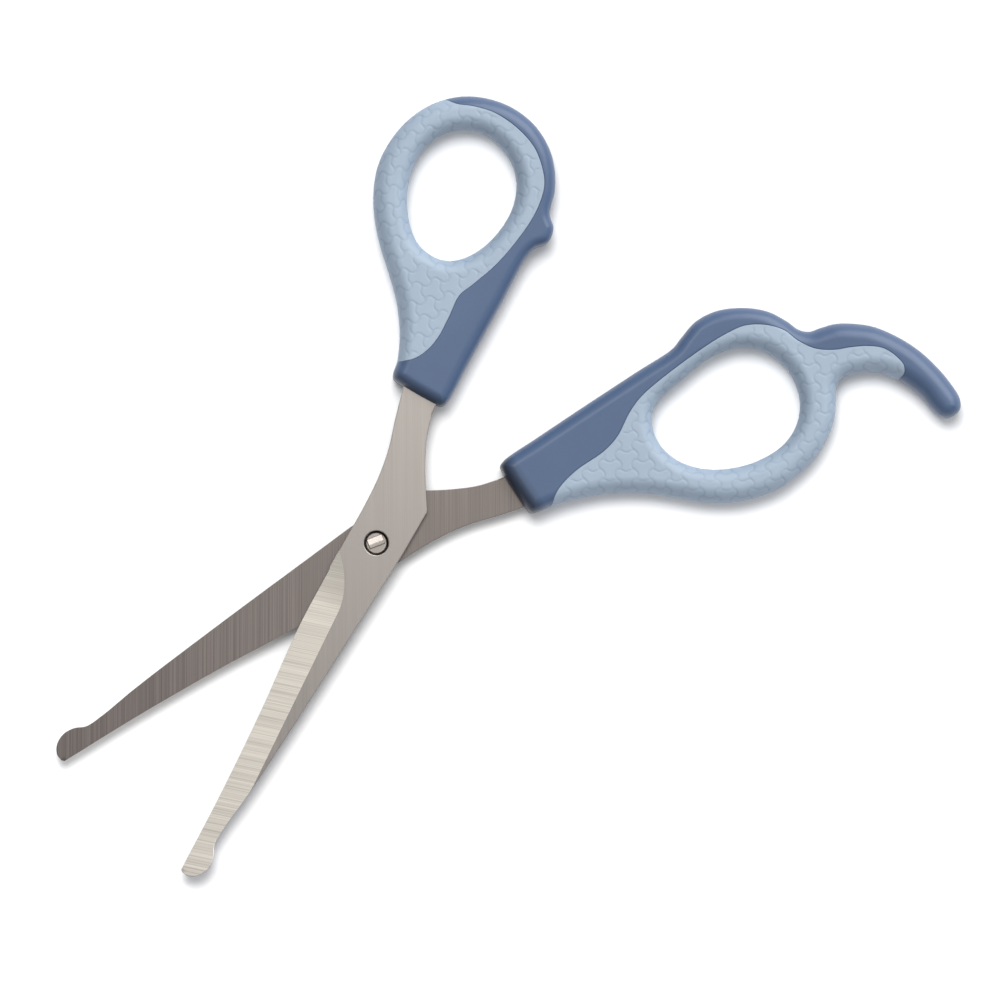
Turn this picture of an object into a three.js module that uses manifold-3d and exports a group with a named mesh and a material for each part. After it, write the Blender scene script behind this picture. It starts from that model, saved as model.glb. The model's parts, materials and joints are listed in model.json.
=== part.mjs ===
// Blunt-tipped pet grooming scissors with overmoulded two-tone handles, lying open on their side.
// Millimetres, +Z up. The assembly rests on z = 0, its tips point along +X, and the bisector of
// the open blades is the X axis. The origin is the middle of the underside of its bounding box.
//
// Each lever is drawn in its own frame, closed: pivot at the origin, blade along +X, handle along
// -X, and the closing line of the handles on the X axis. z = 0 there is the plane where the two
// blades meet. The upper lever carries its cutting edge on -Y and its bevel on top, and the
// lower blade is the same blade turned over.
import * as THREE from "three";
import { mergeVertices } from "three/addons/utils/BufferGeometryUtils.js";
import Module from "manifold-3d";

const wasm = await Module();
wasm.setup();

// ---------------------------------------------------------------- driving dimensions

const OPENING = 26.55; // degrees between the blades as the scissors lie
const HANDLE_THICKNESS = 8.2;
const HANDLE_EDGE = 1.1; // chamfer-like rounding of the handle's edges
const BLADE_THICKNESS = 1.8;
const BLADE_GAP = 0.2; // between the two blades' flat inner faces
const MATING_HEIGHT = HANDLE_THICKNESS / 2;
const PART_GAP = 0.3; // between a moulded piece and what it is moulded round
const TANG_CLEARANCE = 0.2; // round the tang in its pocket
const POCKET_MOUTH = 4; // how far the pocket is carried on past the front of the core

const EDGE_LAND = 0.35; // blade thickness left at the cutting edge
const BEVEL_WIDTH = 5.0;
const BEVEL_START = 9.6; // distance of the bevel's heel from the pivot
const BEVEL_SLOPE = 3.6; // degrees between the cutting edge and the blade's axis
const BEVEL_REACH = 72; // past the tip
const EDGE_OFFSET = -5.75; // where the line of the cutting edge passes the pivot

const HOOP_INNER = 2.0; // hard hoop inside the grip, measured outwards from the finger hole
const HOOP_OUTER = 4.8;
const HOOP_HEIGHT = 3.0;

const SHANK_RADIUS = 1.9;
const UPPER_HOLE_RADIUS = 2.25;
const LOWER_HOLE_RADIUS = 2.2;
const SCREW_RECESS = 0.45; // end of the screw below the upper blade's top face
const TONGUE = { length: 2.9, width: 1.7, proud: 0.1, turn: 141 };
const WASHER = { inner: 2.2, outer: 3.3, thickness: 0.3 };
const HEAD = { radius: 3.6, height: 1.4, crown: 0.5 };
const SLOT = { width: 1.0, depth: 0.6 };
const STACK_GAP = 0.2; // head to washer, and washer to blade

const ROUND_SIDES = 40;
const BLADE_STEP = 2.0; // distance between points along a blade's outline
const HANDLE_STEP = 1.3;

// ---------------------------------------------------------------- outlines, in the lever's frame

const BLADE_TANG = [
  [-28, -3.1],
  [-45, -3.9],
  [-45, -7.3],
  [-31.5, -8.5],
  [-28.2, -10],
];
const BLADE_BACK = [
  [-28, -10.05],
  [-22, -8.4],
  [-16.4, -6.7],
  [-11.5, -5.8],
  [-6, -5.4],
  [8, -5.35],
];
const BLADE_EDGE = [
  [8.6, -5.15],
  [20, -4.85],
  [28, -4.15],
  [36.4, -3.3],
  [54.3, -2.1],
  [70.8, -1.5],
];
const BLADE_TIP = [
  [71.2, -1.1],
  [71.3, 0.2],
  [70.3, 1.8],
  [68.2, 2.8],
  [65.9, 2.6],
  [63.8, 1.65],
  [60.4, 1.65],
  [52, 2.5],
  [32.4, 3.7],
  [12, 4.7],
  [0, 5.25],
  [-9.6, 5.35],
];
const BLADE_SHANK = [
  [-10, 5.2],
  [-13.2, 3.1],
  [-17, 0.8],
  [-21.6, -1.5],
  [-25.5, -2.7],
];

const UPPER_HANDLE = [
  [-28, -2.9],
  [-28.4, -1.8],
  [-29.5, -1.4],
  [-38, -1.6],
  [-50, -1.8],
  [-60.3, -2],
  [-62.5, -1.5],
  [-64.7, 0.1],
  [-67.4, -0.3],
  [-69.4, -2.2],
  [-73.6, -3.5],
  [-77, -5.4],
  [-80.2, -8.5],
  [-82.6, -13.1],
  [-83.3, -18.3],
  [-82.5, -23],
  [-80.8, -26.8],
  [-78.3, -29.9],
  [-74.8, -32.5],
  [-70.2, -34.3],
  [-65.2, -34.9],
  [-60.9, -34.4],
  [-56.4, -32.6],
  [-52.6, -30.2],
  [-48.9, -27],
  [-44.8, -22.6],
  [-41.3, -19.1],
  [-38, -16.6],
  [-34.8, -14.7],
  [-31.4, -13.3],
  [-29.3, -12.9],
  [-28.3, -12.3],
  [-28, -11.2],
];
const UPPER_HOLE = [
  [-75.1, -24.1],
  [-76.5, -20.2],
  [-75.8, -16],
  [-73.8, -12.5],
  [-70.9, -10.1],
  [-66.9, -8.8],
  [-61.9, -8.9],
  [-57.4, -10.2],
  [-54, -12.4],
  [-52.2, -15],
  [-51.8, -18],
  [-52.6, -21.1],
  [-54.7, -23.8],
  [-58.5, -26.6],
  [-63.3, -28.4],
  [-68.2, -28.6],
  [-72.3, -27],
];
const UPPER_SEAM = [
  [-77.7, -33],
  [-78.3, -29.9],
  [-78.6, -27.4],
  [-79.7, -24.6],
  [-80.6, -20.3],
  [-80.1, -15.1],
  [-78.6, -10.9],
  [-76.1, -7.8],
  [-73.6, -5.9],
  [-70.6, -5],
  [-66.6, -4.7],
  [-60.2, -5.4],
  [-55.7, -6.4],
  [-50.7, -8.2],
  [-47.6, -9.4],
  [-43, -9.1],
  [-38.7, -9],
  [-35.7, -9.6],
  [-33.2, -10.9],
  [-31.2, -13.3],
  [-30.2, -15],
];

const LOWER_HANDLE = [
  [-27, 2],
  [-27.3, 0.9],
  [-28.4, 0.4],
  [-36, 0.3],
  [-46, 0.3],
  [-58, 0.4],
  [-66.2, 0.5],
  [-68.8, -0.3],
  [-72.6, -1.3],
  [-76.9, -0.8],
  [-81.3, 1.4],
  [-84.8, 4.5],
  [-86.8, 8],
  [-87.8, 10.6],
  [-89.2, 12],
  [-91.4, 12.6],
  [-94.1, 13.5],
  [-96.8, 15.2],
  [-99.8, 17.9],
  [-102.4, 21.8],
  [-104.3, 26],
  [-105.4, 30.3],
  [-105.9, 34.6],
  [-105.7, 38.1],
  [-104.5, 39.8],
  [-102.4, 40],
  [-100.9, 38.9],
  [-100.3, 36.9],
  [-99.9, 33.4],
  [-98.7, 29.9],
  [-97.1, 27.1],
  [-95.1, 25],
  [-92.1, 23.3],
  [-89.8, 22.7],
  [-88, 23.3],
  [-86.1, 25.7],
  [-84.3, 28],
  [-81.7, 30],
  [-77.2, 32.2],
  [-72.5, 33.1],
  [-68.9, 33.3],
  [-65.3, 32.7],
  [-60.3, 30.9],
  [-55.5, 27.8],
  [-51.3, 23.9],
  [-46.9, 20],
  [-41.1, 16.3],
  [-36.6, 14.2],
  [-31.2, 12.4],
  [-28.4, 11.9],
  [-27.2, 11.3],
  [-26.9, 10.1],
];
const LOWER_HOLE = [
  [-77.2, 7.5],
  [-74.6, 6.4],
  [-70.2, 5.8],
  [-64.4, 6.3],
  [-58.9, 7],
  [-56.5, 8.4],
  [-55, 10.6],
  [-54.3, 13.9],
  [-55.2, 17.9],
  [-57.5, 21.3],
  [-61.5, 24.4],
  [-67.3, 26.6],
  [-73.3, 26.9],
  [-77.6, 25.2],
  [-80.5, 22.1],
  [-81.9, 18],
  [-81.8, 14],
  [-80.1, 10.1],
];
const LOWER_SEAM = [
  [-29.8, 14],
  [-30.8, 12.6],
  [-33.2, 10.7],
  [-37.8, 9.5],
  [-44.8, 9.3],
  [-48.3, 8.4],
  [-52.6, 6],
  [-55.8, 4.8],
  [-60.7, 4.1],
  [-71.6, 3.6],
  [-76.1, 3.8],
  [-79.5, 4.4],
  [-82.7, 6.3],
  [-85.2, 9.1],
  [-86.4, 12.4],
  [-88.2, 15.3],
  [-91.1, 17.5],
  [-93.7, 18.7],
  [-96.7, 20.4],
  [-98.8, 22.3],
  [-99.9, 24.7],
  [-100.2, 27.1],
  [-99.4, 28.4],
  [-98.1, 28.7],
  [-95.5, 29.2],
];

// Far points that close a seam into a region on the grip's side or on the core's side.
const UPPER_GRIP_SIDE = [
  [-30, -40],
  [-77, -40],
];
const UPPER_CORE_SIDE = [
  [-20, -15],
  [-20, 6],
  [-92, 6],
  [-92, -40],
  [-78.2, -40],
];
const LOWER_GRIP_SIDE = [
  [-94, 45],
  [-29, 45],
];
const LOWER_CORE_SIDE = [
  [-97, 45],
  [-112, 45],
  [-112, -6],
  [-20, -6],
  [-20, 14],
];

// ---------------------------------------------------------------- solids

// Evenly spaced points on a smooth curve through the given knots.
function curve(knots, step, closed = false) {
  const vectors = knots.map(([x, y]) => new THREE.Vector3(x, y, 0));
  const path = new THREE.CatmullRomCurve3(vectors, closed, "centripetal");
  const count = Math.ceil(path.getLength() / step);
  const points = path.getSpacedPoints(count).map((p) => new THREE.Vector2(p.x, p.y));
  return closed ? points.slice(0, -1) : points;
}

// The same line moved sideways: to the left of its direction when distance is positive.
function offset(points, distance, closed = false) {
  const count = points.length;
  return points.map((point, i) => {
    const before = points[closed ? (i + count - 1) % count : Math.max(i - 1, 0)];
    const after = points[closed ? (i + 1) % count : Math.min(i + 1, count - 1)];
    const along = after.clone().sub(before).normalize();
    return new THREE.Vector2(point.x - along.y * distance, point.y + along.x * distance);
  });
}

const straight = (corners) => corners.map(([x, y]) => new THREE.Vector2(x, y));

function toSolid(geometry) {
  const bare = geometry.clone();
  bare.deleteAttribute("normal");
  bare.deleteAttribute("uv");
  const merged = mergeVertices(bare, 1e-4);
  return new wasm.Manifold(
    new wasm.Mesh({
      numProp: 3,
      vertProperties: merged.attributes.position.array,
      triVerts: new Uint32Array(merged.index.array),
    }),
  );
}

function toGeometry(solid) {
  const mesh = solid.getMesh();
  const geometry = new THREE.BufferGeometry();
  geometry.setAttribute("position", new THREE.BufferAttribute(mesh.vertProperties, 3));
  geometry.setIndex(new THREE.BufferAttribute(mesh.triVerts, 1));
  geometry.computeVertexNormals();
  return geometry;
}

// The same loop, running clockwise or anticlockwise as asked.
function wound(loop, clockwise) {
  return THREE.ShapeUtils.isClockWise(loop) === clockwise ? loop : [...loop].reverse();
}

// An outline raised from low to high, its edges rounded inwards by edge.
function slab(outline, low, high, { holes = [], edge = 0 } = {}) {
  const shape = new THREE.Shape(wound(outline, false));
  shape.holes = holes.map((hole) => new THREE.Path(wound(hole, true)));
  const geometry = new THREE.ExtrudeGeometry(shape, {
    depth: high - low - 2 * edge,
    bevelEnabled: edge > 0,
    bevelThickness: edge,
    bevelSize: edge,
    bevelOffset: -edge,
    bevelSegments: 2,
  });
  return toSolid(geometry.translate(0, 0, low + edge));
}

function drum(radius, low, high) {
  const geometry = new THREE.CylinderGeometry(radius, radius, high - low, ROUND_SIDES);
  return toSolid(geometry.rotateX(Math.PI / 2).translate(0, 0, (low + high) / 2));
}

function block(length, width, low, high, turn = 0) {
  const geometry = new THREE.BoxGeometry(length, width, high - low);
  geometry.translate(0, 0, (low + high) / 2).rotateZ(THREE.MathUtils.degToRad(turn));
  return toSolid(geometry);
}

// ---------------------------------------------------------------- blade

const BLADE_LOW = BLADE_GAP / 2;
const BLADE_HIGH = BLADE_LOW + BLADE_THICKNESS;

// Everything above the ground bevel: a three-sided bar along the cutting edge.
function bevelCutter() {
  const rise = (BLADE_THICKNESS - EDGE_LAND) / BEVEL_WIDTH;
  const margin = 2;
  const height = (across) => BLADE_LOW + EDGE_LAND + rise * across;
  const section = [
    [-margin, height(-margin)],
    [BEVEL_WIDTH + margin, height(BEVEL_WIDTH + margin)],
    [-margin, height(BEVEL_WIDTH + margin)],
  ];
  const geometry = new THREE.ExtrudeGeometry(new THREE.Shape(straight(section)), {
    depth: BEVEL_REACH - BEVEL_START,
    bevelEnabled: false,
  });
  // the section's own x runs across the blade, its y is up, and its depth runs along the edge
  geometry.applyMatrix4(
    new THREE.Matrix4().makeBasis(
      new THREE.Vector3(0, 1, 0),
      new THREE.Vector3(0, 0, 1),
      new THREE.Vector3(1, 0, 0),
    ),
  );
  geometry.translate(BEVEL_START, 0, 0);
  geometry.rotateZ(THREE.MathUtils.degToRad(BEVEL_SLOPE));
  return toSolid(geometry.translate(0, EDGE_OFFSET, 0));
}

function blade(holeRadius) {
  const outline = [
    ...straight(BLADE_TANG),
    ...curve(BLADE_BACK, BLADE_STEP),
    ...curve(BLADE_EDGE, BLADE_STEP),
    ...curve(BLADE_TIP, BLADE_STEP),
    ...curve(BLADE_SHANK, BLADE_STEP),
  ];
  return slab(outline, BLADE_LOW, BLADE_HIGH)
    .subtract(bevelCutter())
    .subtract(drum(holeRadius, BLADE_LOW - 1, BLADE_HIGH + 1));
}

// ---------------------------------------------------------------- handles

const UPPER = {
  outline: curve(UPPER_HANDLE, HANDLE_STEP, true),
  hole: curve(UPPER_HOLE, HANDLE_STEP, true),
  seam: curve(UPPER_SEAM, HANDLE_STEP),
  gripSide: UPPER_GRIP_SIDE,
  coreSide: UPPER_CORE_SIDE,
  mirror: 1,
};
const LOWER = {
  outline: curve(LOWER_HANDLE, HANDLE_STEP, true),
  hole: curve(LOWER_HOLE, HANDLE_STEP, true),
  seam: curve(LOWER_SEAM, HANDLE_STEP),
  gripSide: LOWER_GRIP_SIDE,
  coreSide: LOWER_CORE_SIDE,
  mirror: -1,
};

const HANDLE_LOW = -MATING_HEIGHT;
const HANDLE_HIGH = HANDLE_THICKNESS - MATING_HEIGHT;
const HOOP_MIDDLE = (HANDLE_LOW + HANDLE_HIGH) / 2;

const handleBody = ({ outline, hole }) =>
  slab(outline, HANDLE_LOW, HANDLE_HIGH, { holes: [hole], edge: HANDLE_EDGE });

// The part of the handle on one side of the seam. The core lies to the left of both seams.
function seamSide(handle, farPoints, shift) {
  const outline = [...offset(handle.seam, shift), ...straight(farPoints)];
  return slab(outline, HANDLE_LOW - 1, HANDLE_HIGH + 1);
}

// The hard hoop round the finger hole, grown by spare on every side.
function hoop({ hole }, spare = 0) {
  const outwards = THREE.ShapeUtils.isClockWise(hole) ? 1 : -1;
  const outer = offset(hole, outwards * (HOOP_OUTER + spare), true);
  const inner = offset(hole, outwards * (HOOP_INNER - spare), true);
  const half = HOOP_HEIGHT / 2 + spare;
  return slab(outer, HOOP_MIDDLE - half, HOOP_MIDDLE + half, { holes: [inner] });
}

// The pocket that holds the blade's tang, open at the front of the core.
function tangPocket({ mirror }) {
  const [upperFront, upperEnd, lowerEnd, lowerBend, lowerFront] = BLADE_TANG;
  const spare = TANG_CLEARANCE;
  const mouth = upperFront[0] + POCKET_MOUTH;
  const corners = [
    [mouth, upperFront[1] + spare],
    [upperFront[0], upperFront[1] + spare],
    [upperEnd[0] - spare, upperEnd[1] + spare],
    [lowerEnd[0] - spare, lowerEnd[1] - spare],
    [lowerBend[0], lowerBend[1] - spare],
    [lowerFront[0], lowerFront[1] - spare],
    [mouth, lowerFront[1] - spare],
  ];
  const outline = straight(corners.map(([x, y]) => [x, y * mirror]));
  const low = mirror > 0 ? BLADE_LOW : -BLADE_HIGH;
  return slab(outline, low - spare, low + BLADE_THICKNESS + spare);
}

// The dark, hard moulding: ferrule, stem and finger rest, with the hoop that backs the grip.
function handleCore(handle) {
  return handleBody(handle)
    .intersect(seamSide(handle, handle.coreSide, PART_GAP / 2))
    .add(hoop(handle))
    .subtract(tangPocket(handle));
}

// The light, soft moulding round the finger hole.
function handleGrip(handle) {
  return handleBody(handle)
    .intersect(seamSide(handle, handle.gripSide, -PART_GAP / 2))
    .subtract(hoop(handle, PART_GAP));
}

// ---------------------------------------------------------------- pivot

const LOWER_FACE = -BLADE_HIGH; // underside of the lower blade
const WASHER_HIGH = LOWER_FACE - STACK_GAP;
const HEAD_HIGH = WASHER_HIGH - WASHER.thickness - STACK_GAP;
const HEAD_LOW = HEAD_HIGH - HEAD.height;

// Slotted head underneath, plain shank, and a staked end with a tongue on top.
function pivotScrew() {
  const end = BLADE_HIGH - SCREW_RECESS;
  const profile = [
    new THREE.Vector2(0, HEAD_LOW),
    new THREE.Vector2(HEAD.radius - HEAD.crown, HEAD_LOW),
    new THREE.Vector2(HEAD.radius - HEAD.crown * 0.3, HEAD_LOW + HEAD.crown * 0.3),
    new THREE.Vector2(HEAD.radius, HEAD_LOW + HEAD.crown),
    new THREE.Vector2(HEAD.radius, HEAD_HIGH),
    new THREE.Vector2(SHANK_RADIUS, HEAD_HIGH),
    new THREE.Vector2(SHANK_RADIUS, end),
    new THREE.Vector2(0, end),
  ];
  const body = new THREE.LatheGeometry(profile, ROUND_SIDES).rotateX(Math.PI / 2);
  const slot = block(3 * HEAD.radius, SLOT.width, HEAD_LOW - 1, HEAD_LOW + SLOT.depth, 20);
  const tongueTop = BLADE_HIGH + TONGUE.proud;
  const tongue = block(TONGUE.length, TONGUE.width, end - 1, tongueTop, TONGUE.turn);
  return toSolid(body).subtract(slot).add(tongue);
}

function tensionWasher() {
  const low = WASHER_HIGH - WASHER.thickness;
  const ring = drum(WASHER.outer, low, WASHER_HIGH);
  return ring.subtract(drum(WASHER.inner, low - 1, WASHER_HIGH + 1));
}

// ---------------------------------------------------------------- materials

const steel = (color) => new THREE.MeshStandardMaterial({ color, roughness: 0.35, metalness: 1 });
const plastic = (color) => new THREE.MeshStandardMaterial({ color, roughness: 0.4 });
const rubber = (color) => new THREE.MeshStandardMaterial({ color, roughness: 0.65 });

const BLADE_STEEL = "#b9b3ac";
const SCREW_STEEL = "#9c968e";
const CORE_BLUE = "#5f7496";
const GRIP_BLUE = "#b1c2d2";

// ---------------------------------------------------------------- assembly

function piece(name, solid, material) {
  const mesh = new THREE.Mesh(toGeometry(solid), material);
  mesh.name = name;
  return mesh;
}

const upperLever = new THREE.Group();
upperLever.rotation.z = THREE.MathUtils.degToRad(OPENING / 2);
upperLever.add(
  piece("upper_blade", blade(UPPER_HOLE_RADIUS), steel(BLADE_STEEL)),
  piece("upper_handle_core", handleCore(UPPER), plastic(CORE_BLUE)),
  piece("upper_grip", handleGrip(UPPER), rubber(GRIP_BLUE)),
  piece("pivot_screw", pivotScrew(), steel(SCREW_STEEL)),
  piece("tension_washer", tensionWasher(), steel(SCREW_STEEL)),
);

const lowerBlade = piece("lower_blade", blade(LOWER_HOLE_RADIUS), steel(BLADE_STEEL));
lowerBlade.rotation.x = Math.PI;

const lowerLever = new THREE.Group();
lowerLever.rotation.z = THREE.MathUtils.degToRad(-OPENING / 2);
lowerLever.add(
  lowerBlade,
  piece("lower_handle_core", handleCore(LOWER), plastic(CORE_BLUE)),
  piece("lower_grip", handleGrip(LOWER), rubber(GRIP_BLUE)),
);

// The pivot is moved so that the origin is at the middle of the underside.
const levers = new THREE.Group();
levers.add(upperLever, lowerLever);
const extent = new THREE.Box3().setFromObject(levers, true);
const middle = extent.getCenter(new THREE.Vector3());
levers.position.set(-middle.x, -middle.y, -extent.min.z);

const scissors = new THREE.Group();
scissors.add(levers);

export default scissors;
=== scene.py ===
"""Blunt-tipped grooming scissors: the visual model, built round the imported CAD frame.

Each lever is drawn in millimetres in its own frame, as the CAD part is: pivot at the origin,
blade along +X, handle along -X, and z = 0 on the plane where the two blades meet. The upper
blade's cutting edge is on -Y and its bevel on top; the lower blade is the same blade turned over.
"""
import json
import math

import bpy
import numpy as np
from mathutils import Matrix, Vector
from mathutils.geometry import delaunay_2d_cdt


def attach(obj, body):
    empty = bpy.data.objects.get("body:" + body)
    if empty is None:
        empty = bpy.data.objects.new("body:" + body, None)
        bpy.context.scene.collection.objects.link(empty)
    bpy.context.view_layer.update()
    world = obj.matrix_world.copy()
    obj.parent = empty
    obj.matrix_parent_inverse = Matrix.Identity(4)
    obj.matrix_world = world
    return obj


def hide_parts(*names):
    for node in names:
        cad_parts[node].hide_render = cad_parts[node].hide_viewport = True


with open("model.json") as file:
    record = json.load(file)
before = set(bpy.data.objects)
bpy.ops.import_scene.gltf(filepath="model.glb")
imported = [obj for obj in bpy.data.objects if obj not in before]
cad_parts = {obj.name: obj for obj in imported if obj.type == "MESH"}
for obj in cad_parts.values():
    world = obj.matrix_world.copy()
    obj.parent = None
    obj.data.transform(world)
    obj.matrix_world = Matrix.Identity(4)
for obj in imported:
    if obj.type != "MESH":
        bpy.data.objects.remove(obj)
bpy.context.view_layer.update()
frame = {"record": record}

# ---------------------------------------------------------------- sizes, in millimetres

MM = 0.001
OPENING = 26.55  # degrees between the blades at rest
PIVOT = Vector(frame["record"]["behaviour"]["joints"][0]["pos_m"])
HALF_HANDLE = PIVOT.z / MM  # half the handles' thickness

RIM_HEIGHT = 1.2  # height of a handle's rounding for each millimetre of its radius
HOLE_RADIUS = 2.7  # rounding of the finger holes' edges
SEAM_GAP = 0.012  # from the parting line to the piece on either side
SEAM_RADIUS = 0.12  # rounding of both pieces along it
SHELL_INSET = 0.02  # the drawn outline runs inside the CAD's, whose sides are short chords

BLADE_LOW, BLADE_HIGH = 0.1, 1.9  # the upper blade's faces
EDGE_LAND = 0.35
BEVEL_RISE = 0.29  # for each millimetre across
EDGE_OFFSET, EDGE_SLOPE = -5.75, math.radians(3.6)  # line that the bevel rises from
HEEL_START, HEEL_RISE = 15.0, 0.013  # where the grinding wheel ran out, and how fast
BLADE_CHAMFER = 0.12
EDGE_CHAMFER = 0.03
BORE_CHAMFER = 0.2

# How finely the meshes are drawn: steps between points, rows of faces on upright walls, the
# degrees between the rows of points on a rounding, and the least gap between two sets of points.
CURVE_STEP, BLADE_STEP, SEAM_STEP = 0.2, 0.3, 0.03
GRIP_STEP, GRIP_WALL_ROWS = 0.17, 14
CORE_STEP, CORE_WALL_ROWS = 0.35, 10
BLADE_WALL_ROWS, SCREW_WALL_ROWS, WASHER_WALL_ROWS = 2, 4, 2
RIM_ANGLE, CHAMFER_ANGLE, HEAD_ANGLE = 5, 30, 10
SEAM_ROWS = (0.03, 0.07, 0.12, 0.2)  # distances of the rows of points beside the parting line
SEAM_CLEAR, RIM_CLEAR = 0.3, 0.004
LATTICE_CLEAR = 0.4  # of a step
BLADE_LATTICE, HEEL_LATTICE, BLADE_CLEAR, CHAMFER_CLEAR = 1.0, 0.35, 0.15, 0.03
HEEL_BOX = np.array([(3.5, -6.0), (16, 2)])
CREASE_START, CREASE_END, CREASE_CLEAR = 4.2, 72, 0.16
ROUND_STEP, PIVOT_STEP, PIVOT_LATTICE, PIVOT_CLEAR = 0.15, 0.2, 0.3, 0.05

# ---------------------------------------------------------------- outlines

# Each point is x, y and, round a handle, the radius of its rounded edge.

BLADE_TANG = [(-28, -3.1), (-45, -3.9), (-45, -7.3), (-31.5, -8.5), (-28.2, -10)]
BLADE_BACK = [(-28, -10.05), (-22, -8.4), (-16.4, -6.7), (-11.5, -5.8), (-6, -5.4), (8, -5.35)]
BLADE_EDGE = [(8.6, -5.15), (20, -4.85), (28, -4.15), (36.4, -3.3), (54.3, -2.1), (70.8, -1.5)]
BLADE_TIP = [
    (71.2, -1.1), (71.3, 0.2), (70.3, 1.8), (68.2, 2.8), (65.9, 2.6), (63.8, 1.65),
    (60.4, 1.65), (52, 2.5), (32.4, 3.7), (12, 4.7), (0, 5.25), (-9.6, 5.35),
]
BLADE_SHANK = [(-10, 5.2), (-13.2, 3.1), (-17, 0.8), (-21.6, -1.5), (-25.5, -2.7)]

UPPER_HANDLE = [
    (-28, -2.9, 2.1), (-28.4, -1.8, 2.1), (-29.5, -1.4, 2.2), (-38, -1.6, 2.3), (-50, -1.8, 2.2),
    (-60.3, -2, 2), (-62.5, -1.5, 1.8), (-64.7, 0.1, 1.7), (-67.4, -0.3, 1.7),
    (-69.4, -2.2, 1.9), (-73.6, -3.5, 2.2), (-77, -5.4, 2.4), (-80.2, -8.5, 2.5),
    (-82.6, -13.1, 2.6), (-83.3, -18.3, 2.7), (-82.5, -23, 2.8), (-80.8, -26.8, 2.8),
    (-78.3, -29.9, 2.8), (-74.8, -32.5, 2.8), (-70.2, -34.3, 2.8), (-65.2, -34.9, 2.8),
    (-60.9, -34.4, 2.8), (-56.4, -32.6, 2.8), (-52.6, -30.2, 2.8), (-48.9, -27, 2.8),
    (-44.8, -22.6, 2.8), (-41.3, -19.1, 2.8), (-38, -16.6, 2.7), (-34.8, -14.7, 2.4),
    (-31.4, -13.3, 2.2), (-29.3, -12.9, 2.1), (-28.3, -12.3, 2.1), (-28, -11.2, 2.1),
]
UPPER_HOLE = [
    (-75.1, -24.1), (-76.5, -20.2), (-75.8, -16), (-73.8, -12.5), (-70.9, -10.1),
    (-66.9, -8.8), (-61.9, -8.9), (-57.4, -10.2), (-54, -12.4), (-52.2, -15), (-51.8, -18),
    (-52.6, -21.1), (-54.7, -23.8), (-58.5, -26.6), (-63.3, -28.4), (-68.2, -28.6), (-72.3, -27),
]
UPPER_SEAM = [
    (-77.7, -33), (-78.3, -29.9), (-78.6, -27.4), (-79.7, -24.6), (-80.6, -20.3),
    (-80.1, -15.1), (-78.6, -10.9), (-76.1, -7.8), (-73.6, -5.9), (-70.6, -5), (-66.6, -4.7),
    (-60.2, -5.4), (-55.7, -6.4), (-50.7, -8.2), (-47.6, -9.4), (-43, -9.1), (-38.7, -9),
    (-35.7, -9.6), (-33.2, -10.9), (-31.2, -13.3), (-30.2, -15),
]
LOWER_HANDLE = [
    (-27, 2, 2.3), (-27.3, 0.9, 2.3), (-28.4, 0.4, 2.3), (-36, 0.3, 2.4), (-46, 0.3, 2.4),
    (-58, 0.4, 2.4), (-66.2, 0.5, 2.2), (-68.8, -0.3, 2.1), (-72.6, -1.3, 2.1),
    (-76.9, -0.8, 2.3), (-81.3, 1.4, 2.4), (-84.8, 4.5, 2.5), (-86.8, 8, 2.6),
    (-87.8, 10.6, 2.6), (-89.2, 12, 2.6), (-91.4, 12.6, 2.7), (-94.1, 13.5, 2.8),
    (-96.8, 15.2, 3), (-99.8, 17.9, 3), (-102.4, 21.8, 3), (-104.3, 26, 3),
    (-105.4, 30.3, 3), (-105.9, 34.6, 2.9), (-105.7, 38.1, 2.6), (-104.5, 39.8, 2.4),
    (-102.4, 40, 2.4), (-100.9, 38.9, 2.5), (-100.3, 36.9, 2.7), (-99.9, 33.4, 2.9),
    (-98.7, 29.9, 3), (-97.1, 27.1, 3), (-95.1, 25, 3), (-92.1, 23.3, 2.8),
    (-89.8, 22.7, 2.8), (-88, 23.3, 2.8), (-86.1, 25.7, 2.8), (-84.3, 28, 2.8),
    (-81.7, 30, 2.8), (-77.2, 32.2, 2.8), (-72.5, 33.1, 2.8), (-68.9, 33.3, 2.8),
    (-65.3, 32.7, 2.8), (-60.3, 30.9, 2.8), (-55.5, 27.8, 2.8), (-51.3, 23.9, 2.8),
    (-46.9, 20, 2.8), (-41.1, 16.3, 2.8), (-36.6, 14.2, 2.6), (-31.2, 12.4, 2.3),
    (-28.4, 11.9, 2.3), (-27.2, 11.3, 2.3), (-26.9, 10.1, 2.3),
]
LOWER_HOLE = [
    (-77.2, 7.5), (-74.6, 6.4), (-70.2, 5.8), (-64.4, 6.3), (-58.9, 7), (-56.5, 8.4),
    (-55, 10.6), (-54.3, 13.9), (-55.2, 17.9), (-57.5, 21.3), (-61.5, 24.4), (-67.3, 26.6),
    (-73.3, 26.9), (-77.6, 25.2), (-80.5, 22.1), (-81.9, 18), (-81.8, 14), (-80.1, 10.1),
]
LOWER_SEAM = [
    (-29.8, 14), (-30.8, 12.6), (-33.2, 10.7), (-37.8, 9.5), (-44.8, 9.3), (-48.3, 8.4),
    (-52.6, 6), (-55.8, 4.8), (-60.7, 4.1), (-71.6, 3.6), (-76.1, 3.8), (-79.5, 4.4),
    (-82.7, 6.3), (-85.2, 9.1), (-86.4, 12.4), (-88.2, 15.3), (-91.1, 17.5), (-93.7, 18.7),
    (-96.7, 20.4), (-98.8, 22.3), (-99.9, 24.7), (-100.2, 27.1), (-99.4, 28.4), (-98.1, 28.7),
    (-95.5, 29.2),
]

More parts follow.
